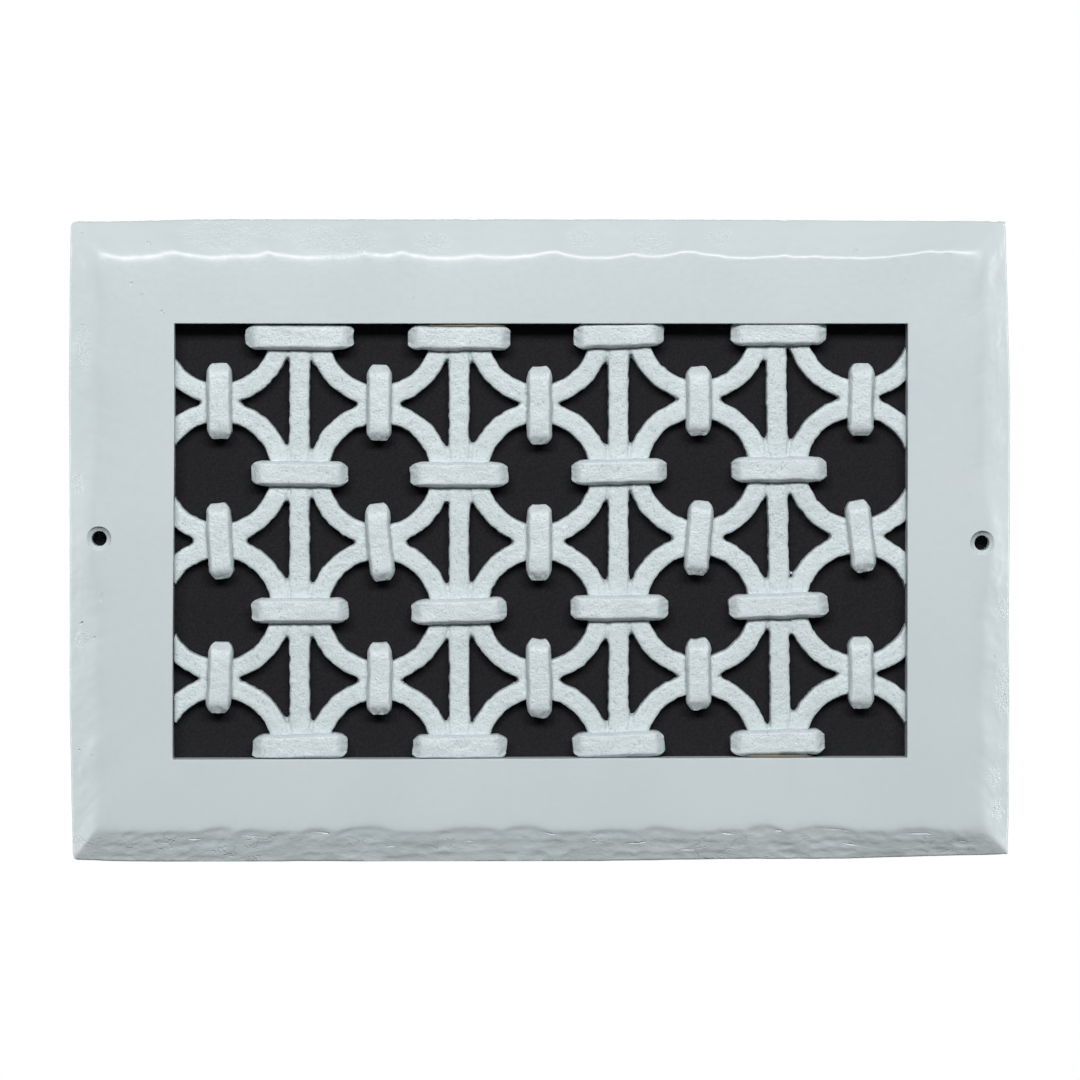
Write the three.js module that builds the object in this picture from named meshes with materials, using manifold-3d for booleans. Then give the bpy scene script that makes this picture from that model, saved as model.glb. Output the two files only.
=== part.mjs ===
// A decorative vent cover, cast in resin and painted a cool white: a flat frame whose outer
// edge is chiselled back to a scalloped bevel, and a grille of hoops, bars and collars like
// wrought ironwork that is glued into its opening. A thin black cloth closes the back.
// Millimetres. X runs along the width, Z up, and the cover faces -Y. The origin is the middle
// of its back, in the plane of the wall.
import * as THREE from "three";
import { ParametricGeometry } from "three/addons/geometries/ParametricGeometry.js";
import { mergeVertices } from "three/addons/utils/BufferGeometryUtils.js";
import Module from "manifold-3d";

// The opening fits a duct boot of nominal 10 by 6 inches.
const openingWidth = 254;
const openingHeight = 150.4;
const railWidth = 35.7;

// Depths, measured from the wall.
const clothThickness = 0.7;
const fitGap = 0.3;
const frameThickness = 11;
const hoopThickness = 5.4;
const collarThickness = 10.4;

// The chiselled edge: its width on the long sides and on the short ones, and how far it falls.
const bevelAlongWidth = 11.4;
const bevelAlongHeight = 9.3;
const bevelDrop = 6.2;
const cornerRadius = 1.5;
const scallopLength = 33;
const scallopDepth = 2.2;
const scallopDrift = 7;
const hollowDepth = 0.5;
const edgeWave = 0.5;
const edgeWaveLength = 88;
const calmCorner = 16;
const chiselPitch = 6.5;

// Two countersunk screw holes, halfway up the short sides.
const screwInset = 9.7;
const screwHole = 4.8;
const screwHead = 8.4;
const screwHeadStep = 0.3;
const countersinkAngle = 90;
const roundSegments = 28;

// The grille: bars between columns of hoops, with a lying collar wherever hoops meet a bar and
// a standing collar wherever two hoops meet. The opening's ends cut through the outer
// hoops, and its long edges trim the outer collars.
const barCount = 4;
const hoopRowCount = 4;
const outerHoopShow = 16.4;
const outerCollarTrim = 0.35;
const outerHoopShift = 1.2;
const barWidth = 7.1;
const hoopBandWidth = 6.8;
const hoopIntoBar = 0.45;
const castDraft = 0.45;
const hoopSegments = 28;

// The grille was cast a little askew and sags along its middle.
const latticeShift = -0.4;
const latticeTilt = 0.35;
const latticeSag = 1.25;

// Each collar's own length, and its lean in degrees, clockwise as seen from the front. Rows
// run from the top, and collars from left to right.
const lyingCollarWidth = 9.2;
const lyingCollars = [
  [[37.8, 0], [35.8, 0], [31.6, -2], [33.4, 0]],
  [[33.8, 0.5], [34.4, 0], [33.4, -1.5], [33.4, -0.5]],
  [[34, -0.5], [33.4, -1.5], [34.2, -0.5], [34.8, -2]],
  [[33.2, -1], [33, -0.5], [32.2, -2], [33, -1.5]],
];
const standingCollarWidth = 9.2;
const standingCollars = [
  [[26.7, 0], [26.7, 0], [27.4, 0], [24.4, 0.5], [25.5, 0.5]],
  [[26.6, -3.5], [27.2, -5], [26.7, 0], [26.2, 4], [25.3, -6.5]],
  [[25, 3], [25.3, 0], [27.7, -1], [25, -0.5], [25.3, 0]],
];
const collarBevel = 1.5;
const collarBevelDepth = 1.1;
const collarEndBevel = 2.4;
const collarEndBevelDepth = 3;
const collarCornerCut = 2.8;

// The cloth stops short of the frame's outer edge.
const clothInset = 1.6;

const outerWidth = openingWidth + 2 * railWidth;
const outerHeight = openingHeight + 2 * railWidth;
const castBack = clothThickness + fitGap;
const frameFront = castBack + frameThickness;
const hoopFront = castBack + hoopThickness;
const collarFront = castBack + collarThickness;
const screwSpacing = outerWidth - 2 * screwInset;
const barPitch = (openingWidth - 2 * outerHoopShow) / barCount;
const collarRowPitch =
  (openingHeight - lyingCollarWidth + 2 * outerCollarTrim) / (hoopRowCount - 1);
const hoopReach = (barPitch - barWidth) / 2 + hoopIntoBar;

const castPaint = {
  color: 0xcad5d7,
  roughness: 0.42,
  metalness: 0,
};
const blackCloth = {
  color: 0x2a2a2c,
  roughness: 0.95,
  metalness: 0,
};

const wasm = await Module();
wasm.setup();

// A solid that manifold-3d can join and cut, from a closed three.js geometry.
function solid(geometry) {
  const bare = geometry.clone();
  bare.deleteAttribute("normal");
  bare.deleteAttribute("uv");
  const merged = mergeVertices(bare, 1e-4);
  const triVerts = [];
  for (let i = 0; i < merged.index.count; i += 3) {
    const corners = [0, 1, 2].map((k) => merged.index.getX(i + k));
    if (new Set(corners).size === 3) triVerts.push(...corners);
  }
  return new wasm.Manifold(
    new wasm.Mesh({
      numProp: 3,
      vertProperties: new Float32Array(merged.attributes.position.array),
      triVerts: new Uint32Array(triVerts),
    }),
  );
}

function geometryOf(body) {
  const mesh = body.getMesh();
  const geometry = new THREE.BufferGeometry();
  geometry.setAttribute("position", new THREE.BufferAttribute(mesh.vertProperties, 3));
  geometry.setIndex(new THREE.BufferAttribute(mesh.triVerts, 1));
  geometry.computeVertexNormals();
  return geometry;
}

function named(name, geometry, look) {
  const mesh = new THREE.Mesh(geometry, new THREE.MeshStandardMaterial(look));
  mesh.name = name;
  return mesh;
}

// The four sides of the frame, anticlockwise as seen from the front: which way each runs, and
// which way it faces.
const sides = [
  { along: [1, 0], out: [0, -1], long: true },
  { along: [0, 1], out: [1, 0], long: false },
  { along: [-1, 0], out: [0, 1], long: true },
  { along: [0, -1], out: [-1, 0], long: false },
];

// 0 at a corner and 1 beyond the calm stretch beside it, so that mitres meet cleanly.
function awayFromCorner(place, half) {
  return THREE.MathUtils.smoothstep(half - Math.abs(place), 0, calmCorner);
}

// One blow of the chisel after another: 0 where two blows meet in a cusp, 1 in mid blow.
function blow(place, side) {
  const wandering = place + scallopDrift * Math.sin(place / scallopLength + 2 * side);
  return Math.abs(Math.sin((Math.PI * wandering) / scallopLength + 0.7 * side));
}

function edgeWander(place, side) {
  const turn = (2 * Math.PI * place) / edgeWaveLength;
  return (edgeWave * (Math.sin(turn + 1.3 * side) + Math.sin(2.3 * turn + side))) / 2;
}

// The frame's section, as lines that run round it: the inset from the outer edge on long and
// short sides, the distance from the wall, and how far the line follows the blows (inwards),
// the hollow of each blow (towards the wall) and the edge's own wander.
function frameLines() {
  const bevel = (share) => [bevelAlongWidth * share, bevelAlongHeight * share];
  const onBevel = (share) => frameFront - bevelDrop * (1 - share);
  const level = (inset, depth) => ({ inset: [inset, inset], depth });
  return [
    { inset: bevel(0), depth: castBack, edge: 1, corner: 1 },
    { inset: bevel(0), depth: onBevel(0), edge: 1, corner: 1 },
    { inset: bevel(0.35), depth: onBevel(0.4), edge: 0.5, blows: 0.3, hollow: 1 },
    { inset: bevel(0.72), depth: onBevel(0.8), blows: 0.7, hollow: 0.8 },
    { inset: bevel(1), depth: frameFront, blows: 1 },
    level(railWidth, frameFront),
    level(railWidth, castBack),
  ];
}

// The section carried round the four sides and mitred at the corners.
function frameShell() {
  const lines = frameLines();
  const halves = [outerWidth / 2, outerHeight / 2];
  const columns = [];
  sides.forEach(({ long }, side) => {
    const half = halves[long ? 0 : 1];
    const steps = Math.round((2 * half) / chiselPitch);
    const inner = half - cornerRadius;
    columns.push({ side, place: -half });
    for (let i = 0; i <= steps; i++) {
      columns.push({ side, place: -inner + (2 * inner * i) / steps });
    }
  });
  const surface = (u, v, target) => {
    const { side, place } = columns[Math.round(u * columns.length) % columns.length];
    const line = lines[Math.round(v * lines.length) % lines.length];
    const { along, out, long } = sides[side];
    const [half, across] = long ? halves : [halves[1], halves[0]];
    const [inset, endInset] = long ? line.inset : [line.inset[1], line.inset[0]];
    const calm = awayFromCorner(place, half);
    const rounding = place === -half ? cornerRadius * (1 - Math.SQRT1_2) : 0;
    const soft = (line.corner ?? 0) * rounding;
    const push =
      calm * (line.blows ?? 0) * scallopDepth * (blow(place, side) - 0.6) +
      calm * (line.edge ?? 0) * edgeWander(place, side);
    const reach = across - inset - push - soft;
    const run = (place / half) * (half - endInset) + soft;
    const depth = line.depth - calm * (line.hollow ?? 0) * hollowDepth * blow(place, side);
    target.set(along[0] * run + out[0] * reach, -depth, along[1] * run + out[1] * reach);
  };
  return new ParametricGeometry(surface, columns.length, lines.length);
}

// The space that a screw takes: its shank, the cone under its head and a shallow step above.
function screwSpace(side) {
  const shank = screwHole / 2;
  const head = screwHead / 2;
  const slope = Math.tan(THREE.MathUtils.degToRad(countersinkAngle / 2));
  const coneTop = frameFront - screwHeadStep;
  const coneFoot = coneTop - (head - shank) / slope;
  const outline = [
    [0, 0],
    [shank, 0],
    [shank, coneFoot],
    [head, coneTop],
    [head, frameFront + screwHead],
    [0, frameFront + screwHead],
  ].map(([radius, depth]) => new THREE.Vector2(radius, -depth));
  const space = new THREE.LatheGeometry(outline.reverse(), roundSegments);
  return space.translate((side * screwSpacing) / 2, 0, 0);
}

function buildFrame() {
  const holes = [-1, 1].map((side) => solid(screwSpace(side)));
  const body = holes.reduce((rest, hole) => rest.subtract(hole), solid(frameShell()));
  return named("frame", geometryOf(body), castPaint);
}

// Where a point of the drawn lattice lies in the casting.
function cast(x, z) {
  const lift = Math.tan(THREE.MathUtils.degToRad(latticeTilt)) * x;
  const reach = (barPitch * barCount) / 2;
  const sag = latticeSag * ((x / reach) ** 2 - 0.5);
  return new THREE.Vector3(x + latticeShift, 0, z + lift + sag);
}

// The places along one axis of count copies, pitch apart and centred.
function spread(count, pitch) {
  return Array.from({ length: count }, (_, i) => (i - (count - 1) / 2) * pitch);
}

// A convex body from flat outlines of equal length, stacked from the wall to the front.
function stacked(outlines) {
  const count = outlines[0].length;
  const index = [];
  for (let level = 0; level + 1 < outlines.length; level++) {
    for (let i = 0; i < count; i++) {
      const [a, b] = [i, (i + 1) % count].map((k) => level * count + k);
      index.push(a, b, b + count, a, b + count, a + count);
    }
  }
  const last = (outlines.length - 1) * count;
  for (let i = 1; i + 1 < count; i++) {
    index.push(0, i + 1, i);
    index.push(last, last + i, last + i + 1);
  }
  const geometry = new THREE.BufferGeometry().setFromPoints(outlines.flat());
  return geometry.setIndex(index);
}

// A rectangle with its corners cut, at one distance from the wall.
function cutRectangle(halfX, halfZ, cut, depth) {
  const corners = [
    [-halfX + cut, -halfZ],
    [halfX - cut, -halfZ],
    [halfX, -halfZ + cut],
    [halfX, halfZ - cut],
    [halfX - cut, halfZ],
    [-halfX + cut, halfZ],
    [-halfX, halfZ - cut],
    [-halfX, -halfZ + cut],
  ];
  return corners.map(([x, z]) => new THREE.Vector3(x, -depth, z));
}

// A collar lying along X: its long edges bevelled, and its ends sloping further back.
function collar(length, width) {
  const half = length / 2;
  const side = width / 2;
  const shoulder = collarFront - collarEndBevelDepth;
  const brow = collarFront - collarBevelDepth;
  return stacked([
    cutRectangle(half, side, collarCornerCut, castBack),
    cutRectangle(half, side, collarCornerCut, shoulder),
    cutRectangle(half - collarEndBevel / 2, side, collarCornerCut, brow),
    cutRectangle(half - collarEndBevel, side - collarBevel, collarCornerCut / 2, collarFront),
  ]);
}

function placed(geometry, [x, z], degrees) {
  const lean = THREE.MathUtils.degToRad(degrees);
  const turned = new THREE.Matrix4().makeRotationY(lean);
  return geometry.applyMatrix4(turned.setPosition(cast(x, z)));
}

function hoop(x, z) {
  const inner = hoopReach - hoopBandWidth;
  const section = [
    [inner, castBack],
    [inner + castDraft, hoopFront],
    [hoopReach - castDraft, hoopFront],
    [hoopReach, castBack],
    [inner, castBack],
  ].map(([radius, depth]) => new THREE.Vector2(radius, -depth));
  return placed(new THREE.LatheGeometry(section, hoopSegments), [x, z], 0);
}

// A bar runs the height of the opening, and each end follows the lattice where it lies.
function bar(x) {
  const back = barWidth / 2;
  const front = back - castDraft;
  const half = openingHeight / 2 + railWidth / 4;
  const level = (side, depth) =>
    [
      [-side, -half],
      [side, -half],
      [side, half],
      [-side, half],
    ].map(([dx, z]) => new THREE.Vector3(dx, -depth, z));
  return placed(stacked([level(back, castBack), level(front, hoopFront)]), [x, 0], 0);
}

function buildGrille() {
  const bars = spread(barCount, barPitch);
  const columns = spread(barCount + 1, barPitch);
  const collarRows = spread(hoopRowCount, collarRowPitch).reverse();
  const standingRows = spread(hoopRowCount - 1, collarRowPitch).reverse();
  const hoopRows = spread(hoopRowCount, collarRowPitch).map((z) =>
    Math.abs(z) > collarRowPitch ? Math.sign(z) * (Math.abs(z) + outerHoopShift) : z,
  );
  const pieces = bars.map((x) => bar(x));
  for (const z of hoopRows) {
    for (const x of columns) pieces.push(hoop(x, z));
  }
  collarRows.forEach((z, row) =>
    bars.forEach((x, i) => {
      const [length, lean] = lyingCollars[row][i];
      pieces.push(placed(collar(length, lyingCollarWidth), [x, z], lean));
    }),
  );
  standingRows.forEach((z, row) =>
    columns.forEach((x, i) => {
      const [length, lean] = standingCollars[row][i];
      pieces.push(placed(collar(length, standingCollarWidth), [x, z], lean + 90));
    }),
  );
  const space = new THREE.BoxGeometry(
    openingWidth - 2 * fitGap,
    4 * frameThickness,
    openingHeight - 2 * fitGap,
  );
  const joined = pieces.map(solid).reduce((all, next) => all.add(next));
  return named("grille", geometryOf(joined.intersect(solid(space))), castPaint);
}

function buildCloth() {
  const sheet = new THREE.BoxGeometry(
    outerWidth - 2 * clothInset,
    clothThickness,
    outerHeight - 2 * clothInset,
  );
  const cloth = named("backing_cloth", sheet, blackCloth);
  cloth.position.y = -clothThickness / 2;
  return cloth;
}

const ventCover = new THREE.Group();
ventCover.add(buildFrame(), buildGrille(), buildCloth());

export default ventCover;
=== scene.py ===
"""A decorative vent cover of cast and painted resin, drawn in Blender around its CAD solids.

The cells are meant to be read from top to bottom. All shapes are worked out in millimetres
with numpy and put into meshes in metres. X runs along the width, Z up, and the cover faces -Y,
so that a depth below is a distance in front of the wall, along -Y.
"""

# %% [markdown]
# # The frame comes first
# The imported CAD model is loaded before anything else. It says how big the cover is and where
# each part sits, so every finer piece below takes its place from it. The box of the CAD model
# is kept, because the finished cover has to stay inside it.

# %% Load the CAD frame and read its sizes
import math

import bpy
import numpy as np
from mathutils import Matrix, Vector
from mathutils.geometry import delaunay_2d_cdt


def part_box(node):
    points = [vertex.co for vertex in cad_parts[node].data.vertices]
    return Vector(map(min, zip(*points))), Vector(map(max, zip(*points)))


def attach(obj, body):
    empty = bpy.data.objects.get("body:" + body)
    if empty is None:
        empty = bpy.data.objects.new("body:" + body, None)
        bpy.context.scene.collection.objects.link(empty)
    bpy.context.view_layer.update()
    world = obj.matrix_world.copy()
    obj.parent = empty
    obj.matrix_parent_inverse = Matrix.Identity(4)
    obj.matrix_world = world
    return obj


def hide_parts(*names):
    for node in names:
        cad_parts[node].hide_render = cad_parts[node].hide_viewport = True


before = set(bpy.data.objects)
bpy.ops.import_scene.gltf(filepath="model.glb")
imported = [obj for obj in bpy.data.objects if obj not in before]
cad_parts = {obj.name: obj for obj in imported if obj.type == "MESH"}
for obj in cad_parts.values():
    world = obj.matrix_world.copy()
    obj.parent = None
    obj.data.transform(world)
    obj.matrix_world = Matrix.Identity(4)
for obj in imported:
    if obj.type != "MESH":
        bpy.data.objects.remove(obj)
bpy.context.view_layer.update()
MM = 0.001
FIT_GAP = 0.3
CLOTH_INSET = 1.6
SWELL_ROOM = 0.06

frame_box = np.array([list(corner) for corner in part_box("frame")]) / MM
grille_box = np.array([list(corner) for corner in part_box("grille")]) / MM
cloth_box = np.array([list(corner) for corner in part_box("backing_cloth")]) / MM

outer_half = (cloth_box[1] - cloth_box[0])[[0, 2]] / 2 + CLOTH_INSET
opening_half = (grille_box[1] - grille_box[0])[[0, 2]] / 2 + FIT_GAP
rail_width = float(outer_half[0] - opening_half[0])
cast_back = float(-frame_box[1][1])
frame_front = float(-frame_box[0][1])
collar_front = float(-grille_box[0][1])
print("outside", 2 * outer_half, "opening", 2 * opening_half, "rail", rail_width)
print("depths: back", cast_back, "frame", frame_front, "collars", collar_front)

# %% [markdown]
# # The camera
# The photograph is taken straight on with a long lens, from a little left of the middle and a
# little above it: slivers of the opening's inner walls show at the right and at the bottom. A
# camera more than two metres away gives those slivers. It looks at the middle of the frame's
# face, and its lens is worked out so that the photograph's width takes in 373.4 mm there.

# %% Place the camera
IMAGE_SPAN = 373.4
CAMERA_AWAY = 2200.0
CAMERA_LEFT = 40.0
CAMERA_UP = 60.0
AIM = (-0.22, -frame_front, 0.35)


def place_camera():
    """A camera on a line to its aim, with lens = sensor width times distance over the span."""
    data = bpy.data.cameras.new("photo_camera")
    camera = bpy.data.objects.new("photo_camera", data)
    bpy.context.scene.collection.objects.link(camera)
    aim = Vector(AIM) * MM
    camera.location = Vector((-CAMERA_LEFT, -frame_front - CAMERA_AWAY, CAMERA_UP)) * MM
    look = aim - camera.location
    camera.rotation_euler = look.to_track_quat("-Z", "Y").to_euler()
    data.lens = data.sensor_width * look.length / (IMAGE_SPAN * MM)
    data.clip_start = 0.1
    data.clip_end = 20.0
    return camera


bpy.context.scene.camera = place_camera()
print("lens", round(bpy.context.scene.camera.data.lens, 2), "mm")

# %% [markdown]
# # Small helpers
# A mesh is put together from whole arrays. The random unevenness of a casting comes from value
# noise: the corners of a lattice get random heights, and a point between them takes a smoothly
# weighted mean. The same seed gives the same casting each time.

# %% Soft steps, soft corners and noise
NOISE_TABLE = np.random.default_rng(7).uniform(-1, 1, 4096)


def smoothstep(value, low, high):
    """0 below low, 1 above high, and 3t squared minus 2t cubed between them."""
    share = np.clip((value - low) / (high - low), 0, 1)
    return share * share * (3 - 2 * share)


def ramp(value, softness):
    """0 for a negative value and the value itself for a positive one, with a soft corner:
    half the sum of the value and the root of its square plus the softness squared."""
    return (value + np.sqrt(value * value + softness * softness)) / 2


def smooth_min(a, b, reach):
    """The lesser of two distances, lowered by a quarter of the reach where they are equal."""
    near = np.clip(1 - np.abs(a - b) / reach, 0, 1)
    return np.minimum(a, b) - near * near * reach / 4


def noise(x, z, cell, seed):
    """Value noise from -1 to 1: each lattice corner has a height from a table, picked by a
    product of primes, and a point mixes its four corners with smoothstep weights."""
    across = x / cell
    up = z / cell
    left = np.floor(across).astype(np.int64)
    low = np.floor(up).astype(np.int64)
    mix_x = smoothstep(across - left, 0, 1)
    mix_z = smoothstep(up - low, 0, 1)
    total = np.zeros(np.broadcast(x, z).shape)
    for dx, dz in ((0, 0), (1, 0), (0, 1), (1, 1)):
        pick = ((left + dx) * 73856093 ^ (low + dz) * 19349663 ^ seed * 83492791) & 4095
        weight_x = mix_x if dx else 1 - mix_x
        weight_z = mix_z if dz else 1 - mix_z
        total = total + NOISE_TABLE[pick] * weight_x * weight_z
    return total


def layers(x, z, parts):
    """A sum of noises: each part is a height in millimetres, a cell's size and a seed."""
    return sum(height * noise(x, z, cell, seed) for height, cell, seed in parts)


# %% From arrays to meshes
def grid_quads(rows, columns, round_rows=False, round_columns=False):
    """The point numbers of each cell of a grid, anticlockwise, joined end to end if round."""
    i, j = np.meshgrid(
        np.arange(rows if round_rows else rows - 1),
        np.arange(columns if round_columns else columns - 1),
        indexing="ij",
    )
    i, j = i.ravel(), j.ravel()
    i_next, j_next = (i + 1) % rows, (j + 1) % columns
    corners = [i * columns + j, i_next * columns + j, i_next * columns + j_next]
    return np.stack([*corners, i * columns + j_next], axis=1)


def mesh_object(name, points, faces):
    """A new object from points in millimetres, with its place in its mesh."""
    mesh = bpy.data.meshes.new(name)
    mesh.from_pydata((np.asarray(points) * MM).tolist(), [], faces)
    mesh.validate()
    piece = bpy.data.objects.new(name, mesh)
    bpy.context.scene.collection.objects.link(piece)
    return piece


def shade(piece, sharp_degrees):
    """Smooth shading, with edges left sharp where two faces meet at more than an angle."""
    piece.data.shade_smooth()
    piece.data.set_sharp_from_angle(angle=math.radians(sharp_degrees))


def say(piece):
    """Prints a piece's triangles and its box in millimetres."""
    low, high = (np.array(piece.bound_box)[k] / MM for k in (0, 6))
    triangles = sum(len(face.vertices) - 2 for face in piece.data.polygons)
    print(piece.name, triangles, "triangles from", low.round(2), "to", high.round(2))


print("noise from", NOISE_TABLE.min().round(3), "to", NOISE_TABLE.max().round(3))

# %% [markdown]
# # The frame's chiselled edge
# The frame is a flat casting whose outer edge was cut back with a chisel in the master, so that
# the crest between flat and bevel is a row of bites, and the bevel is covered with shallow
# scoops. A plain Bevel modifier would be too regular. Here the frame is a section carried round
# a rectangle, with mitres, and the depth of its front is worked out at every point of a fine
# grid: a ramp down from the crest, less the scoops. Each side has its own list of bites: where
# each is, how wide, and how far it reaches into the flat.

# %% The sizes of the edge, and its four sides
BEVEL_DROP = 6.2
BEVEL_WIDTHS = (11.4, 9.3)
CALM_CORNER = 12.0
CORNER_RADIUS = 2.4
# Each screw hole has the sign of its side, its height and its inset from the outer edge.
SCREW_HOLES = ((-1, 0.85, 10.1), (1, -0.8, 9.65))
HOLE_NEAR = (2.5, 30.0)
HOLE_LAND = 2.6
HOLE_LIFT = 0.5

SIDES = [
    {"along": (1, 0), "out": (0, -1), "long": True, "set_back": -0.7, "chiselled": 1.0},
    {"along": (0, 1), "out": (1, 0), "long": False, "set_back": -0.4, "chiselled": 0.6},
    {"along": (-1, 0), "out": (0, 1), "long": True, "set_back": -0.7, "chiselled": 0.2},
    {"along": (0, -1), "out": (-1, 0), "long": False, "set_back": -0.4, "chiselled": 0.6},
]

# %% Bites of the crest and shifts of the outer edge, one list for each side
# A bite is its place along the side, its width and its reach into the flat. A shift of the
# edge is a place and how far the edge lies outwards there.
BITES = [
    [
        (-111, 12.5, 1.5), (-99, 10.5, 0.6), (-77, 10, 1.0), (-60, 20, 1.8), (-24, 23, 1.3),
        (-5.5, 18, 1.9), (25, 17, 0.7), (41, 17, 1.4), (65, 11, 0.5), (77, 15, 2.2),
        (97.5, 22, 1.8), (130, 18, 1.0),
    ],
    [(-82, 26, 1.0), (-55, 30, 1.3), (-20, 32, 0.8), (18, 30, 1.2), (52, 26, 0.9), (84, 20, 1.0)],
    [
        (-145.5, 39.5, 2.2), (-111.5, 27.5, 1.9), (-103, 19.5, 1.6), (-79, 29, 2.0),
        (-70.5, 21, 1.6), (-54.5, 14, 1.2), (-32.5, 31, 2.3), (-12, 29, 1.9), (20, 29, 2.25),
        (39, 18, 1.6), (61.5, 17.5, 1.3), (72.5, 34.5, 2.25), (91, 21, 1.9), (108.5, 48.5, 2.3),
    ],
    [(-86, 22, 1.0), (-58, 26, 1.2), (-28, 28, 0.9), (8, 30, 1.1), (44, 26, 1.0), (76, 30, 1.2)],
]
EDGE_SHIFTS = [
    [
        (-163, -0.2), (-142, 0.4), (-104, 0.7), (-83, 0.3), (-48, 0.7), (20, 0.5), (66, -0.2),
        (107, -0.2), (125, -0.8), (163, -1.7),
    ],
    [(-111, -0.2), (-90, 0.3), (-20, 0.1), (50, 0.4), (85, -0.6), (104, -1.2), (111, -1.3)],
    [(-163, -0.4), (-146, -0.3), (-118, 0.4), (-50, 0.4), (60, 0.4), (100, 0.1), (163, -0.2)],
    [
        (-111, -0.6), (-90, -0.2), (-55, 0.4), (0, 0.2), (50, 0.4), (85, 0.1), (104, -0.2),
        (111, -0.3),
    ],
]
CREST_WAVER = 0.18
CREST_NICKS = 0.14
EDGE_WAVER = 0.06


def half_length(side):
    """Half the length of a side's outer edge."""
    return outer_half[0] if SIDES[side]["long"] else outer_half[1]


def bevel_widths(side):
    """The width of a side's own bevel, and that of the bevels at its two ends."""
    return BEVEL_WIDTHS if SIDES[side]["long"] else BEVEL_WIDTHS[::-1]


def side_place(side, place):
    """X or Z of the casting at a place along a side."""
    return place * sum(SIDES[side]["along"])


def crest_place(side, place):
    """X or Z of the crest there: the crest is shorter than the outer edge by the end bevels."""
    return side_place(side, place) * (1 - bevel_widths(side)[1] / half_length(side))


def near_hole(side, at):
    """1 beside a screw hole in this side, falling softly to 0 on both sides of it."""
    near = 0 * at
    for sign, height, _ in SCREW_HOLES:
        if SIDES[side]["out"][0] == sign:
            near = near + 1 - smoothstep(np.abs(at - height), *HOLE_NEAR)
    return near


def crest_shift(side, place):
    """How far the crest lies into the flat: the side's set back plus its highest bite. A bite
    is an arc: its reach times one minus the square of the distance from its middle. Beside a
    screw hole the crest keeps clear of the hole."""
    at = crest_place(side, place)
    bites = np.array(BITES[side])
    away = (at[..., None] - bites[:, 0]) / (bites[:, 1] / 2)
    reach = (bites[:, 2] * np.clip(1 - away**2, 0, None)).max(axis=-1)
    calm = smoothstep(half_length(side) - np.abs(place), 0, CALM_CORNER)
    nicks = CREST_NICKS * noise(place, 0 * place, 1.7, 45 + side)
    fine = CREST_WAVER * noise(place, 0 * place, 3.1, 40 + side)
    fine = fine + nicks * SIDES[side]["chiselled"]
    shift = calm * (SIDES[side]["set_back"] + reach + fine)
    beside = near_hole(side, at)
    return shift + beside * (-HOLE_LAND - shift)


def edge_shift(side, place):
    """How far the outer edge wanders outwards, read between the side's few marks."""
    at = side_place(side, place)
    marks = np.array(EDGE_SHIFTS[side])
    fine = EDGE_WAVER * noise(place, 0 * place, 5.0, 50 + side)
    return np.interp(at, marks[:, 0], marks[:, 1]) + fine


print("bites:", [len(bites) for bites in BITES], "marks:", [len(marks) for marks in EDGE_SHIFTS])

# %% [markdown]
# # Scoops and shells on the bevel
# Scoops are shallow bowls in jittered rows, as a chisel leaves them: small ones on the long
# sides, wide and flat ones on the short sides. Under each bite of the crest lies a shell: the
# bevel falls steeply below the arc and comes back slowly towards the outer edge. Where two
# bowls meet, the deeper one wins, which gives the ridges between them.

# %% Scoops and shells
SMALL_SCOOPS = {
    "gap": 6.0, "rows": 3, "length": (2.5, 6.5), "inner": (0.6, 1.8), "outer": (1.6, 3.6),
    "depth": (0.1, 0.42),
}
WIDE_SCOOPS = {
    "gap": 9.0, "rows": 2, "length": (6.0, 11.0), "inner": (2.5, 4.5), "outer": (4.0, 6.5),
    "depth": (0.1, 0.5),
}
SHELL_LENGTH = 8.0
SHELL_STEEP = 0.12
SHELL_DEPTH = 0.34
SHELL_SPREAD = 0.56


def scoops(side):
    """Middles, sizes and depths of a side's scoops: jittered rows from a fixed seed."""
    kind = SMALL_SCOOPS if SIDES[side]["long"] else WIDE_SCOOPS
    half, width = half_length(side), bevel_widths(side)[0]
    rng = np.random.default_rng(200 + side)
    count = int(2 * half / kind["gap"])
    place, row = np.meshgrid(np.linspace(-half, half, count), np.arange(kind["rows"]))
    shape = place.shape
    place = place + rng.uniform(-0.6, 0.6, shape) * kind["gap"]
    inset = (row + 0.55 + rng.uniform(-0.3, 0.3, shape)) * width / kind["rows"]
    sizes = [rng.uniform(*kind[name], shape) for name in ("length", "inner", "outer", "depth")]
    return zip(*(values.ravel() for values in (place, inset, *sizes)))


def chiselled(side, place, inset):
    """How deep scoops and shells bite. A scoop is its depth times one minus the squared
    distance, measured in its own length and in its inner or outer reach. A shell is an arch
    across its bite, times a hump down the bevel: v over s times e to the one minus v over s."""
    deepest = np.zeros(np.broadcast(place, inset).shape)
    for at, down, length, inner, outer, depth in scoops(side):
        lean = inset - down
        reach = np.where(lean > 0, inner, outer)
        far = ((place - at) / length) ** 2 + (lean / reach) ** 2
        deepest = np.maximum(deepest, depth * (1 - far))
    width = bevel_widths(side)[0] + SIDES[side]["set_back"]
    for at, bite_width, reach in BITES[side]:
        across_bite = (crest_place(side, place) - at) / (SHELL_SPREAD * bite_width)
        arch = np.clip(1 - across_bite**2, 0, None)
        below_arc = np.clip(width + reach * arch - inset, 0, None) / SHELL_LENGTH / SHELL_STEEP
        deepest = np.maximum(deepest, SHELL_DEPTH * arch * below_arc * np.exp(1 - below_arc))
    return deepest * SIDES[side]["chiselled"]


print("scoops:", [len(list(scoops(side))) for side in range(4)])

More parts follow.
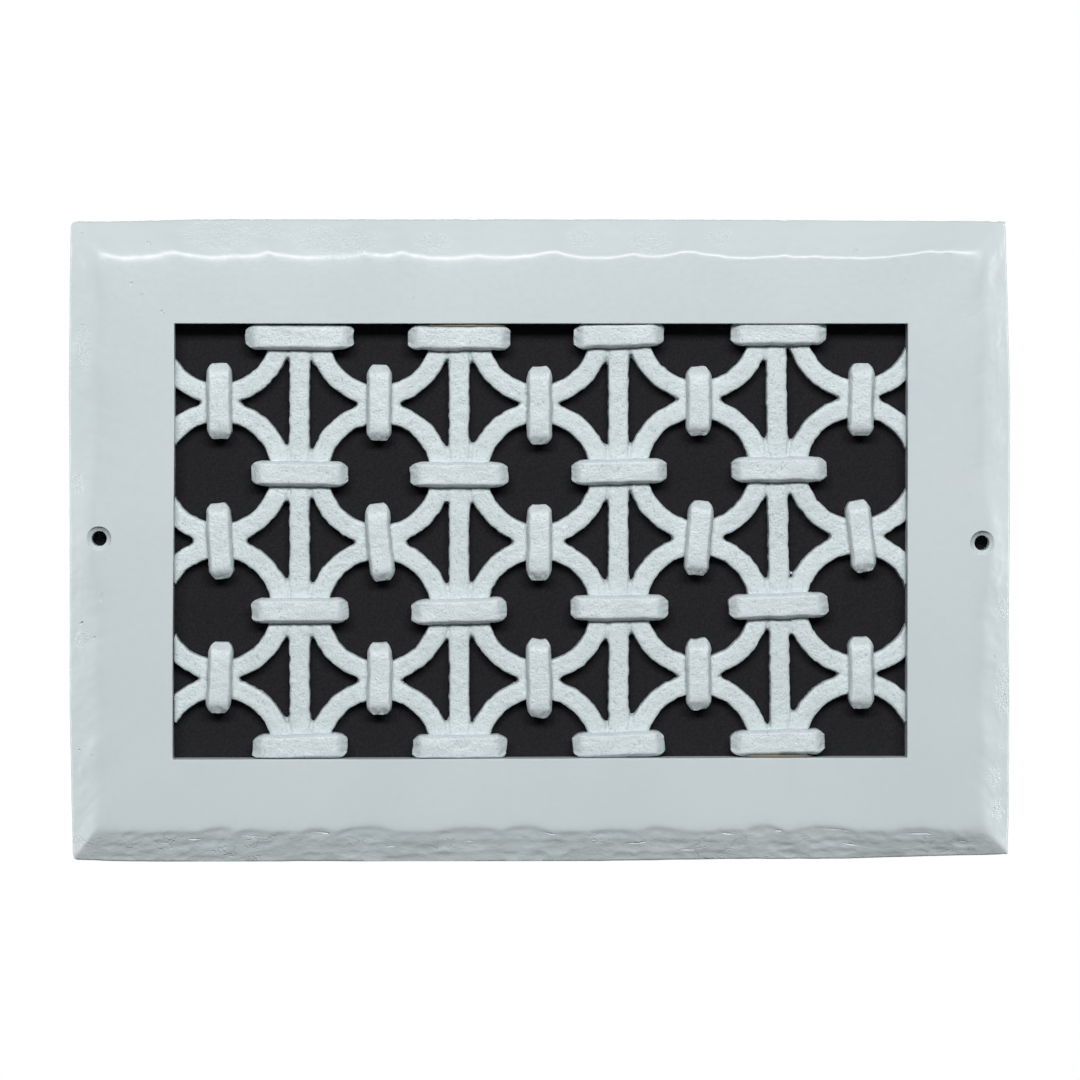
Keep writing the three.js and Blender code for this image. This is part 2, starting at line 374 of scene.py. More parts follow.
# %% [markdown]
# # The frame's section
# The lines of the section run round the frame: up the outer wall, over the bevel and the flat,
# down the inner wall and across the back. They are close together on the bevel, where the
# scoops need them, and far apart on the flat. The crest is softer at the left of the top than
# at its right, and softest on the short sides; two sides agree where they meet. At the corners
# the two bevels run into each other softly above, and with a clearer mitre below.

# %% How soft the crest and the mitres are
CREST_SOFTNESS = [
    [(-153, 0.14), (-140, 0.09), (140, 0.09), (153, 0.2)],
    [(-99, 0.2), (-85, 0.26), (85, 0.26), (99, 0.16)],
    [
        (-153, 0.16), (-138, 0.12), (-20, 0.11), (15, 0.05), (60, 0.035), (140, 0.02),
        (153, 0.16),
    ],
    [(-99, 0.14), (-85, 0.3), (85, 0.3), (99, 0.16)],
]
HIGH_MITRE_SOFTNESS = 0.5
LOW_MITRE_SOFTNESS = (0.1, 0.24)
LONG_CARVED_FROM = 0.16
SHORT_CARVED_FROM = 0.6
CALM_START = 2.0
SWELL = ((0.05, 38.0, 5), (0.012, 6.0, 6))
# A fibre's noise has a height, a stretch along the side, a cell's size and a first seed.
FIBRES = ((0.065, 1.8, 1.3, 61), (0.04, 1.4, 0.7, 71))


def front_depth(side, place, share, x, z):
    """The front's distance from the wall. Share is 0 at the outer edge, 1 at the plain crest
    and grows over the flat. The bevel is the drop times a soft ramp of one minus the inset
    over the crest's own inset, less the scoops and a fibrous unevenness. Beside a screw hole
    it falls a little less, so that its slope hardly grows."""
    long = SIDES[side]["long"]
    width, end_width = bevel_widths(side)
    crest = 1 + crest_shift(side, place) / width
    below = 1 - share / crest
    from_end = half_length(side) - np.abs(x if long else z)
    soft = np.interp(crest_place(side, place), *np.transpose(CREST_SOFTNESS[side]))
    low_mitre = np.interp(x, (-outer_half[0], outer_half[0]), LOW_MITRE_SOFTNESS)
    mitre = np.where(z > 0, HIGH_MITRE_SOFTNESS, low_mitre)
    below = -smooth_min(-below, from_end / end_width - 1, mitre)
    shallow = 1 - near_hole(side, crest_place(side, place)) * HOLE_LIFT * HOLE_LAND / width
    drop = BEVEL_DROP * shallow * (ramp(below, soft) - ramp(-1.0, soft))
    on_bevel = smoothstep(below, 0.0, LONG_CARVED_FROM if long else SHORT_CARVED_FROM)
    calm = smoothstep(half_length(side) - np.abs(place), CALM_START, CALM_CORNER)
    rough = 0 * drop
    for height, stretch, cell, seed in FIBRES:
        rough = rough + height * noise(place / stretch, share * width, cell, seed + side)
    carved = chiselled(side, place, share * width) + rough * SIDES[side]["chiselled"]
    swell = layers(x, z, SWELL)
    return frame_front - SWELL_ROOM - drop - calm * on_bevel * carved + swell


# %% The lines of the section
BEVEL_LINES = 30
BEVEL_CROWDING = 1.15
BEVEL_REACH = 1.32
CREST_STEP = 0.45


def section_lines():
    """Rows of kind, share of the bevel, share of the flat and level up a wall, in order round
    the section. The lines crowd towards the outer edge and go on past the plain crest."""
    lines = [("outer", 0, 0, level) for level in (0.0, 0.35, 0.7)]
    for share in np.linspace(0, 1, BEVEL_LINES) ** BEVEL_CROWDING * BEVEL_REACH:
        lines.append(("front", min(share, 1), max(share - 1, 0) * CREST_STEP, 0))
    for flat in (0.2, 0.3, 0.42, 0.55, 0.7, 0.82, 0.91, 0.965, 0.985, 0.994, 1.0):
        lines.append(("front", 1, flat, 0))
    lines += [("inner", 1, 1, level) for level in (0.94, 0.7, 0.35, 0.0)]
    lines += [("back", 1 - level, 1 - level, level) for level in (0.25, 0.5, 0.75)]
    return lines


print("lines round the section:", len(section_lines()))

# %% The frame's points
COLUMN_GAP = 0.85
EDGE_FOLLOW = 1.2
EDGE_ROUND = 0.45
MOUTH_ROUND = 0.25
MOUTH_SHIFTS = [
    [(-76, 76), (-0.3, 0.0)], [(-60, 60), (0.0, 0.0)], [(-76, 76), (0.1, 0.1)],
    [(-60, 60), (-0.2, 0.6)],
]


def rounding(inset, radius):
    """How far a rounded edge falls short: a quarter circle over its last stretch."""
    at_edge = np.clip(1 - inset / radius, 0, 1)
    return radius * (1 - np.sqrt(1 - at_edge**2))


def side_points(side):
    """The points of one side: each line's inset moves a place in from the edge, and its run
    shrinks in step with the insets at the two ends, which gives the mitres."""
    look = SIDES[side]
    half, across = outer_half if look["long"] else outer_half[::-1]
    count = int(2 * half / COLUMN_GAP)
    place = np.linspace(-half, half, count, endpoint=False)[:, None]
    own, end = bevel_widths(side)
    lines = section_lines()
    kind = np.array([line[0] for line in lines])
    bevel, flat, level = (np.array([line[k] for line in lines], float) for k in (1, 2, 3))
    inset = own * bevel + (rail_width - own) * flat
    end_inset = end * bevel + (rail_width - end) * flat
    share = bevel + flat * (rail_width - own) / own
    before = edge_shift((side - 1) % 4, np.array([[across]]))
    after = edge_shift((side + 1) % 4, np.array([[-across]]))
    follow = np.clip(1 - bevel * EDGE_FOLLOW, 0, 1)
    run = place / half * (half - end_inset + follow * np.where(place < 0, before, after))
    mouth = np.clip(flat * 2 - 1, 0, 1) * np.interp(side_place(side, place), *MOUTH_SHIFTS[side])
    reach = across - inset + follow * edge_shift(side, place) - mouth
    x = look["along"][0] * run + look["out"][0] * reach
    z = look["along"][1] * run + look["out"][1] * reach
    depth = front_depth(side, place + 0 * inset, share[None, :], x, z)
    depth = depth - rounding(inset, EDGE_ROUND)
    depth = depth - rounding(rail_width - inset, MOUTH_ROUND)
    walls = cast_back + level * (depth - cast_back)
    depth = np.where(kind == "front", depth, walls)
    depth = np.where(kind == "back", cast_back, depth)
    return np.stack([x, -depth, z], axis=-1)


def rounded_corners(points):
    """Bends the square corners of the outside round: a point in a corner's own square moves
    along its line to the square's middle, by its greater coordinate over its distance."""
    flat = points[..., [0, 2]]
    away = np.abs(flat) - (outer_half - CORNER_RADIUS)
    in_corner = (away > 0).all(axis=-1)
    far = np.linalg.norm(away, axis=-1)
    scale = np.where(in_corner, away.max(axis=-1) / np.maximum(far, 1e-9), 1)
    moved = np.sign(flat) * (outer_half - CORNER_RADIUS + away * scale[..., None])
    points[..., [0, 2]] = np.where(in_corner[..., None], moved, flat)
    return points


def frame_casting():
    """The four sides one after another, as one grid that is closed both ways."""
    points = rounded_corners(np.concatenate([side_points(side) for side in range(4)]))
    low, high = frame_box
    points = np.clip(points, low, high)
    quads = grid_quads(*points.shape[:2], round_rows=True, round_columns=True)
    return mesh_object("frame_casting", points.reshape(-1, 3), quads.tolist())


frame_piece = frame_casting()
say(frame_piece)

# %% [markdown]
# # Screw holes and marks
# Two countersunk holes go through the short sides. A tool shape, turned on a lathe, is taken
# away from the frame with a Boolean modifier, and the result is kept as the frame's mesh: the
# cutter can then be deleted. The burst bubbles near the corners, the scratches of the short
# sides and the lens-shaped chips of the lower crest are cut in the same way, with flattened
# balls that dip into the surface.

# %% Cut the countersunk holes
SCREW_HOLE = 5.3
SCREW_HEAD = 8.6
SCREW_STEP = 0.95
SCREW_SIDES = 72
CUT_ROOM = 5.0


def turned(outline, x, z, sides):
    """A closed turned shape: each (radius, depth) of the outline makes a ring about Y."""
    angle = np.arange(sides) * 2 * np.pi / sides
    outline = np.array(outline, float)
    radius, depth = outline[:, :1], outline[:, 1:]
    rings = np.stack(
        [x + radius * np.cos(angle), -depth + 0 * angle, z + radius * np.sin(angle)], axis=-1
    )
    faces = grid_quads(len(outline), sides, round_columns=True)[:, ::-1].tolist()
    faces.append(list(reversed(range(sides))))
    faces.append([(len(outline) - 1) * sides + k for k in range(sides)])
    return rings.reshape(-1, 3), faces


def keep_modifiers(piece):
    """Replaces a piece's mesh by what its modifiers make of it, and takes them off."""
    graph = bpy.context.evaluated_depsgraph_get()
    made = bpy.data.meshes.new_from_object(piece.evaluated_get(graph))
    piece.modifiers.clear()
    piece.data = made


def cut(piece, cutter):
    """Takes the cutter's shape away from the piece."""
    boolean = piece.modifiers.new("cut", "BOOLEAN")
    boolean.operation = "DIFFERENCE"
    boolean.solver = "MANIFOLD"
    boolean.object = cutter
    keep_modifiers(piece)
    bpy.data.objects.remove(cutter)


cone_top = frame_front - SWELL_ROOM - SCREW_STEP
cone_foot = cone_top - (SCREW_HEAD - SCREW_HOLE) / 2
screw_outline = [
    (SCREW_HOLE / 2, -CUT_ROOM),
    (SCREW_HOLE / 2, cone_foot),
    (SCREW_HEAD / 2, cone_top),
    (SCREW_HEAD / 2, frame_front + CUT_ROOM),
]
for sign, height, inset in SCREW_HOLES:
    at = sign * (outer_half[0] - inset)
    cut(frame_piece, mesh_object("screw_cutter", *turned(screw_outline, at, height, SCREW_SIDES)))
say(frame_piece)

# %% Bubbles, scratches and chips
# Each mark has its X and Z, its half sizes along and across, its depth and its turn.
BUBBLES = [
    (-141.3, 88.9, 0.9, 0.55, 0.4, 40), (-137.6, 85.1, 0.55, 0.35, 0.25, 20),
    (-135.3, 103.0, 0.85, 0.5, 0.4, -50), (-130.9, 79.3, 0.35, 0.8, 0.35, -20),
    (-129.8, 78.4, 0.3, 0.6, 0.25, 15), (-158.5, 106.2, 0.4, 0.35, 0.25, 0),
    (-158.5, 74.6, 0.6, 0.4, 0.3, 30), (-44.0, 84.0, 0.35, 0.3, 0.3, 0),
    (109.0, 100.5, 0.8, 0.45, 0.35, 10), (125.8, 90.0, 0.4, 0.35, 0.3, 0),
    (-159.8, -72.6, 0.6, 0.45, 0.4, 30), (-155.6, -74.2, 0.5, 0.4, 0.35, 10),
    (160.0, -71.6, 0.5, 0.4, 0.3, 0), (161.2, -54.0, 0.4, 0.8, 0.3, 0),
]
SCRATCHES = [
    (-159.6, -29.1, 3.9, 0.45, 0.3, 38), (-154.6, -33.6, 1.3, 0.35, 0.2, 30),
    (-151.8, -19.5, 1.6, 0.3, 0.12, 75), (158.0, -41.0, 1.4, 0.3, 0.15, -60),
]
CHIPS = [
    (-75.3, -101.0, 5.0, 0.55, 0.12, 3), (-119.0, -103.2, 3.0, 0.5, 0.13, -4),
    (-99.5, -102.4, 3.5, 0.5, 0.13, -6), (-53.0, -106.0, 3.0, 0.35, 0.16, 8),
    (-24.0, -104.2, 2.4, 0.4, 0.16, -5), (3.0, -101.4, 2.5, 0.35, 0.16, -10),
    (32.5, -104.8, 4.0, 0.4, 0.16, 5), (51.0, -107.3, 2.4, 0.35, 0.13, 0),
    (66.0, -101.8, 3.5, 0.55, 0.16, -12), (82.0, -100.5, 3.6, 0.45, 0.16, 6),
    (100.5, -100.3, 6.0, 0.6, 0.11, -3), (131.5, -101.6, 5.0, 0.6, 0.11, 2),
    (108.0, -105.5, 3.0, 0.35, 0.13, -8), (146.0, -104.5, 2.2, 0.35, 0.12, 10),
]


def ball_cutters(places, sides=16, rounds=9, last_tilt=80):
    """Flattened balls in one mesh. Each has half sizes along and across, a depth of cut and a
    turn in degrees. Its middle lies one depth of cut above the surface and it reaches two down,
    so that it is wider than the mark by the root of four thirds."""
    surface = np.empty(len(frame_piece.data.vertices) * 3)
    frame_piece.data.vertices.foreach_get("co", surface)
    surface = surface.reshape(-1, 3) / MM
    surface = surface[surface[:, 1] < -cast_back - 1]
    angle = np.arange(sides) * 2 * np.pi / sides
    tilt = np.linspace(-last_tilt, last_tilt, rounds)[:, None] * np.pi / 180
    ball = [np.cos(tilt) * np.cos(angle), np.sin(tilt) + 0 * angle, np.cos(tilt) * np.sin(angle)]
    ball = np.stack(ball, axis=-1).reshape(-1, 3)
    rings = grid_quads(rounds, sides, round_columns=True)[:, ::-1].tolist()
    rings += [list(reversed(range(sides))), [(rounds - 1) * sides + k for k in range(sides)]]
    wider = math.sqrt(4 / 3)
    points, faces = [], []
    for number, (x, z, half_x, half_z, deep, turn) in enumerate(places):
        nearest = np.argmin(np.hypot(surface[:, 0] - x, surface[:, 2] - z))
        along = ball[:, 0] * half_x * wider
        across = ball[:, 2] * half_z * wider
        cos, sin = math.cos(math.radians(turn)), math.sin(math.radians(turn))
        own = [
            x + along * cos - across * sin,
            surface[nearest, 1] - deep - 2 * deep * ball[:, 1],
            z + along * sin + across * cos,
        ]
        points.append(np.stack(own, axis=1))
        faces += [[k + number * len(ball) for k in face] for face in rings]
    return np.concatenate(points), faces


cut(frame_piece, mesh_object("marks_cutter", *ball_cutters(BUBBLES + SCRATCHES + CHIPS)))
shade(frame_piece, 42)
say(frame_piece)

# %% [markdown]
# # The lattice
# The grille looks like smith's work: columns of hoops between bars, tied by collars. It was
# cast in one, a little askew. The same few sizes as in the CAD model place each hoop, bar and
# collar, and one function says where a point of the drawn lattice lies in the casting: it is
# shifted, tilted, sagging in the middle and lifted right of it. The last bar leans.

# %% Where hoops, bars and collars lie
BAR_COUNT = 4
HOOP_ROWS = 4
OUTER_HOOP_SHOW = 16.4
OUTER_COLLAR_TRIM = 0.35
OUTER_HOOP_SHIFT = 1.2
BAR_WIDTH = 7.1
HOOP_BAND = 6.8
HOOP_INTO_BAR = 0.45
COLLAR_WIDTH = 9.2
LATTICE_SHIFT = -0.4
LATTICE_TILT = math.radians(0.35)
LATTICE_SAG = 1.25
LATTICE_LIFT = 0.95
LIFT_PLACE = 50.0
LIFT_REACH = 36.0
LAST_BAR_TOP = -0.7
LAST_BAR_FOOT = 1.1

bar_pitch = 2 * (opening_half[0] - OUTER_HOOP_SHOW) / BAR_COUNT
row_pitch = (2 * opening_half[1] - COLLAR_WIDTH + 2 * OUTER_COLLAR_TRIM) / (HOOP_ROWS - 1)
hoop_reach = (bar_pitch - BAR_WIDTH) / 2 + HOOP_INTO_BAR


def spread(count, pitch):
    """The places of count copies, a pitch apart and centred."""
    return (np.arange(count) - (count - 1) / 2) * pitch


def lattice(x, z):
    """A point of the drawn lattice in the casting: shifted, tilted by a small angle, sagging
    as a parabola over the width, and lifted by a bell curve about one place."""
    reach = bar_pitch * BAR_COUNT / 2
    sag = LATTICE_SAG * ((x / reach) ** 2 - 0.5)
    lift = LATTICE_LIFT * np.exp(-(((x - LIFT_PLACE) / LIFT_REACH) ** 2))
    return x + LATTICE_SHIFT, z + math.tan(LATTICE_TILT) * x + sag + lift


bar_places = spread(BAR_COUNT, bar_pitch)
column_places = spread(BAR_COUNT + 1, bar_pitch)
rows = spread(HOOP_ROWS, row_pitch)
hoop_rows = np.where(np.abs(rows) > row_pitch, rows + np.sign(rows) * OUTER_HOOP_SHIFT, rows)
hoop_places = [lattice(x, z) for z in hoop_rows for x in column_places]
print("pitches", bar_pitch, row_pitch, "hoops", len(hoop_places), "reach", hoop_reach)

# %% [markdown]
# # Hoops and bars as one casting
# Joining rings and bars with Booleans would leave sharp corners where they meet. In the real
# casting those corners are filled, and every edge is soft. A distance field does that in a few
# lines: the distance to the nearest hoop and to the nearest bar is known at each point of the
# plane, and a smooth minimum of the two fills the corners. The front's height and the edges'
# rounding turn it into a field in space, whose zero is the casting's skin.

# %% The field of the casting
CELL = 0.68
HOOP_FRONT = 6.7
HOOP_GROWTH = 0.45
BAR_GROWTH = 0.3
HOOP_FILL = 2.8
CORNER_FILL = 2.6
EDGE_SOFT = 0.6
DRAFT = 0.06
CREASE = 0.64
CREASE_WIDTH = 1.0
CREASE_FROM = (-1.9, -0.9)
UNEVEN = ((0.15, 3.4, 11), (0.21, 1.4, 12))
RELIEF = ((0.10, 2.6, 13), (0.07, 1.3, 14))
RELIEF_ROOM = 0.15
SEAT_GAP = 0.05
JUST_INSIDE = -0.02
FAR = 99.0


def plan_distances(x, z):
    """Two fields over the plane. The first is the distance to hoops and bars joined, negative
    inside; a hoop is its band's half width short of its middle circle, a bar is a strip, and
    the paint makes both a little wider. The second is 1 where a hoop and a bar meet: where
    both are equally far, and near both their rims."""
    middle = hoop_reach - HOOP_BAND / 2
    joined = np.full(np.broadcast(x, z).shape, FAR)
    hoops = joined
    for at_x, at_z in hoop_places:
        ring = np.abs(np.hypot(x - at_x, z - at_z) - middle) - (HOOP_BAND + HOOP_GROWTH) / 2
        joined = smooth_min(joined, ring, HOOP_FILL)
        hoops = np.minimum(hoops, ring)
    bars = np.full(joined.shape, FAR)
    lean = np.interp(z, (-opening_half[1], opening_half[1]), (LAST_BAR_FOOT, LAST_BAR_TOP))
    for place in bar_places:
        shift = LATTICE_SHIFT + lean * (place == bar_places[-1])
        beside = np.abs(x - place - shift + BAR_GROWTH / 3)
        bars = np.minimum(bars, beside - (BAR_WIDTH + BAR_GROWTH) / 2)
    meeting = np.exp(-(((hoops - bars) / CREASE_WIDTH) ** 2))
    meeting = meeting * smoothstep(np.minimum(hoops, bars), *CREASE_FROM)
    return smooth_min(joined, bars, CORNER_FILL), meeting


def casting_field(x, depth, z):
    """The casting as a field, negative inside. In the plane it is the joined distance with a
    slope for draft and some unevenness; in depth it is the height above the front. The two
    meet in a rounded edge, and the back and the opening's walls cut it off."""
    joined, meeting = plan_distances(x, z)
    front = HOOP_FRONT - RELIEF_ROOM + layers(x, z, RELIEF) - CREASE * meeting
    side = (joined + layers(x, z, UNEVEN))[:, None, :] + DRAFT * (depth - cast_back)
    above = depth - front[:, None, :]
    side, above = side + EDGE_SOFT, above + EDGE_SOFT
    body = np.minimum(np.maximum(side, above), 0) - EDGE_SOFT
    body = body + np.hypot(np.maximum(side, 0), np.maximum(above, 0))
    ends = np.maximum(
        np.abs(x) - opening_half[0] + SEAT_GAP, np.abs(z) - opening_half[1] + SEAT_GAP
    )
    return np.maximum(np.maximum(body, cast_back - depth), ends[:, None, :])


# %% The field on a grid
def fill_alternate(field):
    """Where the four corners of a grid square are inside and outside by turns, four faces
    would meet in one edge of the skin, so all four are put just inside. The border of the
    grid is all outside, so that rolling round it finds nothing there."""
    found = True
    while found:
        found = False
        for one, two in ((0, 1), (0, 2), (1, 2)):
            inside = field < 0
            beside, above = np.roll(inside, -1, one), np.roll(inside, -1, two)
            across = np.roll(beside, -1, two)
            alternate = (inside == across) & (beside == above) & (inside != beside)
            found = found or bool(alternate.any())
            for steps in ((0, 0), (0, 1), (1, 0), (1, 1)):
                corner = np.roll(alternate, steps, (one, two))
                field = np.where(corner, np.minimum(field, JUST_INSIDE), field)
    return field


grid_x = np.arange(-opening_half[0] - CELL, opening_half[0] + 2 * CELL, CELL)
grid_z = np.arange(-opening_half[1] - CELL, opening_half[1] + 2 * CELL, CELL)
grid_depth = np.array([0.3, 1.7, 3.5, 5.1, 5.7, 6.2, 6.7, 7.3])
field = casting_field(grid_x[:, None], grid_depth[None, :, None], grid_z[None, :])
field = fill_alternate(field)
print("field", field.shape, "inside", round(float((field < 0).mean()), 3))

# %% [markdown]
# # A skin for the field
# A surface net finds the skin: each cell of the grid that the skin goes through gets one point,
# the mean of the places where its edges cross zero, and each crossing edge gets one face
# between the four cells around it. The flat back then has far more faces than it needs, so it
# is triangulated anew from its rim alone.

# %% Surface net
def surface_net(field, axes):
    """Points and quads of the field's zero. The axes are the grid's coordinates."""
    shape = np.array(field.shape) - 1
    sums = np.zeros((shape.prod(), 3))
    counts = np.zeros(shape.prod())
    quads = []
    for axis in range(3):
        first = np.take(field, range(field.shape[axis] - 1), axis)
        second = np.take(field, range(1, field.shape[axis]), axis)
        edge = np.stack(np.nonzero((first < 0) != (second < 0)), axis=1)
        a, b = first[tuple(edge.T)], second[tuple(edge.T)]
        share = a / (a - b)
        place = np.stack([axes[k][edge[:, k]] for k in range(3)], axis=1)
        step = np.diff(axes[axis])[edge[:, axis]]
        place[:, axis] += share * step
        one, two = [k for k in range(3) if k != axis]
        cells = []
        for back_one, back_two in ((0, 0), (1, 0), (1, 1), (0, 1)):
            cell = edge.copy()
            cell[:, one] -= back_one
            cell[:, two] -= back_two
            cells.append(np.ravel_multi_index(tuple(cell.T), shape))
        for cell in cells:
            counts += np.bincount(cell, minlength=len(counts))
            for k in range(3):
                sums[:, k] += np.bincount(cell, weights=place[:, k], minlength=len(counts))
        quad = np.stack(cells, axis=1)
        turn = (a < 0) != (axis == 1)
        quad[turn] = quad[turn][:, ::-1]
        quads.append(quad)
    used = np.nonzero(counts)[0]
    number = np.zeros(len(counts), int)
    number[used] = np.arange(len(used))
    return sums[used] / counts[used, None], number[np.concatenate(quads)]


net_points, net_quads = surface_net(field, (grid_x, grid_depth, grid_z))
print("surface net:", len(net_points), "points and", len(net_quads), "quads")


# %% A plain back, and the piece
def square_numbers(middles):
    """The numbers of the grid's squares, one round each grid point, that middles lie in."""
    across = np.rint((middles[:, 0] - grid_x[0]) / CELL).astype(int)
    return across, np.rint((middles[:, 2] - grid_z[0]) / CELL).astype(int)


def flat_back(points, quads):
    """The skin with its finely divided back exchanged for a few thousand triangles: a
    constrained triangulation of the back's rim. The old back is made of the grid's squares,
    so a triangle is kept if its middle lies in one of them. Points that no face uses any
    more are dropped."""
    flat = np.abs(points[:, 1] - cast_back) < 1e-6
    is_back = flat[quads].all(axis=1)
    back, rest = quads[is_back], quads[~is_back]
    edges = np.concatenate([back[:, [k, (k + 1) % 4]] for k in range(4)])
    _, first, uses = np.unique(
        np.sort(edges, axis=1), axis=0, return_index=True, return_counts=True
    )
    rim = edges[first[uses == 1]]
    used, numbers = np.unique(rim, return_inverse=True)
    flat_places = [Vector(p) for p in points[used][:, [0, 2]].tolist()]
    links = numbers.reshape(-1, 2).tolist()
    made = delaunay_2d_cdt(flat_places, links, [], 0, 1e-7)
    origin = np.array([own[0] for own in made[3]])
    triangles = used[origin[np.array(made[2])]]
    solid_squares = np.zeros((len(grid_x), len(grid_z)), bool)
    solid_squares[square_numbers(points[back].mean(axis=1))] = True
    triangles = triangles[solid_squares[square_numbers(points[triangles].mean(axis=1))]]
    both = np.concatenate([rest.ravel(), triangles.ravel()])
    kept, numbers = np.unique(both, return_inverse=True)
    rest = numbers[: rest.size].reshape(-1, 4)
    triangles = numbers[rest.size :].reshape(-1, 3)[:, ::-1]
    return points[kept], rest.tolist() + triangles.tolist()


net_points, net_faces = flat_back(net_points, net_quads)
net_points[:, 1] *= -1
hoops_piece = mesh_object("hoops_and_bars", net_points, net_faces)
shade(hoops_piece, 60)
say(hoops_piece)

# %% [markdown]
# # The collars
# Each collar is a block with bevelled long edges and blunt, rounded ends that fall further
# back. Its face is a grid over length and width whose lines are closest at the bevels;
# walls go down from the grid's rim to the back of the casting. No two collars are alike: each
# has its own unevenness, and the length and lean that it has in the CAD model, where the
# rounded ends come a little short. The standing ones at the right sit further out, and the
# first two of the top row sit high.

# %% The collars' sizes
# Each collar has its length and its lean in degrees. Rows run from the top.
LYING_COLLARS = [
    [(37.8, 0), (35.8, 0), (31.6, -2), (33.4, 0)],
    [(33.8, 0.5), (34.4, 0), (33.4, -1.5), (33.4, -0.5)],
    [(34, -0.5), (33.4, -1.5), (34.2, -0.5), (34.8, -2)],
    [(33.2, -1), (33, -0.5), (32.2, -2), (33, -1.5)],
]
STANDING_COLLARS = [
    [(26.7, 0), (26.7, 0), (27.4, 0), (24.4, 0.5), (25.5, 0.5)],
    [(26.6, -3.5), (27.2, -5), (26.7, 0), (26.2, 4), (25.3, -6.5)],
    [(25, 3), (25.3, 0), (27.7, -1), (25, -0.5), (25.3, 0)],
]
END_SHORTENING = 0.4
RIGHT_COLUMN_OUT = 1.0
TOP_LEFT_LIFT = 1.1
COLLAR_FACE = 8.7
COLLAR_SUNK = 0.55
COLLAR_BEVEL = 1.1
COLLAR_BEVEL_DEPTH = 2.3
COLLAR_END = 3.0
COLLAR_END_DEPTH = 3.2
COLLAR_NOSE = 3.9
NOSE_SHARE = 0.54
NOSE_POWER = 2.3
EDGE_RAMP = 0.2
END_RAMP = 0.36
BEVEL_JOIN = 0.7
FACE_ROOM = 0.02
WALL_LEVELS = (0.3, 0.65, 1.0)


# %% The face of a collar
FACE_WAVER = 0.16
FACE_LUMPS = 0.1
END_SCRATCHES = 0.36
EDGE_SCRATCHES = 0.22
SIDE_WAVER = 0.22
SIDE_NICKS = 0.13
END_WAVER = 0.3


def mirrored(steps):
    """Places from -1 to 1 from the positive ones."""
    steps = np.array(steps)
    return np.concatenate([-steps[::-1], steps])


ALONG = mirrored([0.04, 0.12, 0.2, 0.3, 0.4, 0.5, 0.58, 0.66, 0.73, 0.78, 0.82, 0.86,
                  0.895, 0.925, 0.955, 0.98, 1.0])
ACROSS = mirrored([0.08, 0.24, 0.4, 0.54, 0.64, 0.71, 0.77, 0.84, 0.92, 1.0])


def collar_face(length, width, seed):
    """Points over a collar's face. Near an end its width shrinks by a power of the closeness
    to the end, down to a blunt nose, and its depth falls by a soft ramp, as it does near the
    long edges. Noise makes it uneven, with small scratches across the ends."""
    half, side = length / 2, width / 2
    along, across = ALONG[:, None], ACROSS[None, :]
    to_end = half * (1 - np.abs(along)) + 0 * across
    short = np.clip(1 - to_end / COLLAR_NOSE, 0, 1)
    own_side = side * (1 - (1 - NOSE_SHARE) * short**NOSE_POWER)
    run = half * along + 0 * across
    over = own_side * across
    to_edge = own_side * (1 - np.abs(across))
    edge_fall = COLLAR_BEVEL_DEPTH * ramp(1 - to_edge / COLLAR_BEVEL, EDGE_RAMP)
    end_share = 1 - to_end / COLLAR_END
    end_fall = COLLAR_END_DEPTH * ramp(end_share, END_RAMP)
    fall = -smooth_min(-edge_fall, -end_fall, BEVEL_JOIN)
    waver = FACE_WAVER * noise(run + 50 * seed, over, 5.0, 20)
    waver = waver + FACE_LUMPS * noise(run, over, 1.6, 21 + seed)
    at_end = smoothstep(end_share, 0, 0.5)
    scratches = END_SCRATCHES * noise(run * 0.5, over * 1.6, 0.9, 24 + seed) * at_end
    at_edge = smoothstep(to_edge, COLLAR_BEVEL * 1.3, COLLAR_BEVEL * 0.4)
    scratches = scratches + EDGE_SCRATCHES * noise(run * 0.8, over * 1.5, 1.0, 27 + seed) * at_edge
    over = over + SIDE_WAVER * noise(run + 31 * seed, 0 * run, 6.0, 22) * np.abs(across)
    nicks = SIDE_NICKS * noise(run + 11 * seed, 0 * run, 1.5, 26)
    over = over + nicks * across**2 * np.sign(across)
    run = run + END_WAVER * noise(over + 17 * seed, 0 * run, 3.0, 23) * np.abs(along) ** 6
    return np.stack([run, fall - waver - scratches + COLLAR_SUNK, over], axis=-1)


print("points on a collar's face:", len(ALONG), "by", len(ACROSS))


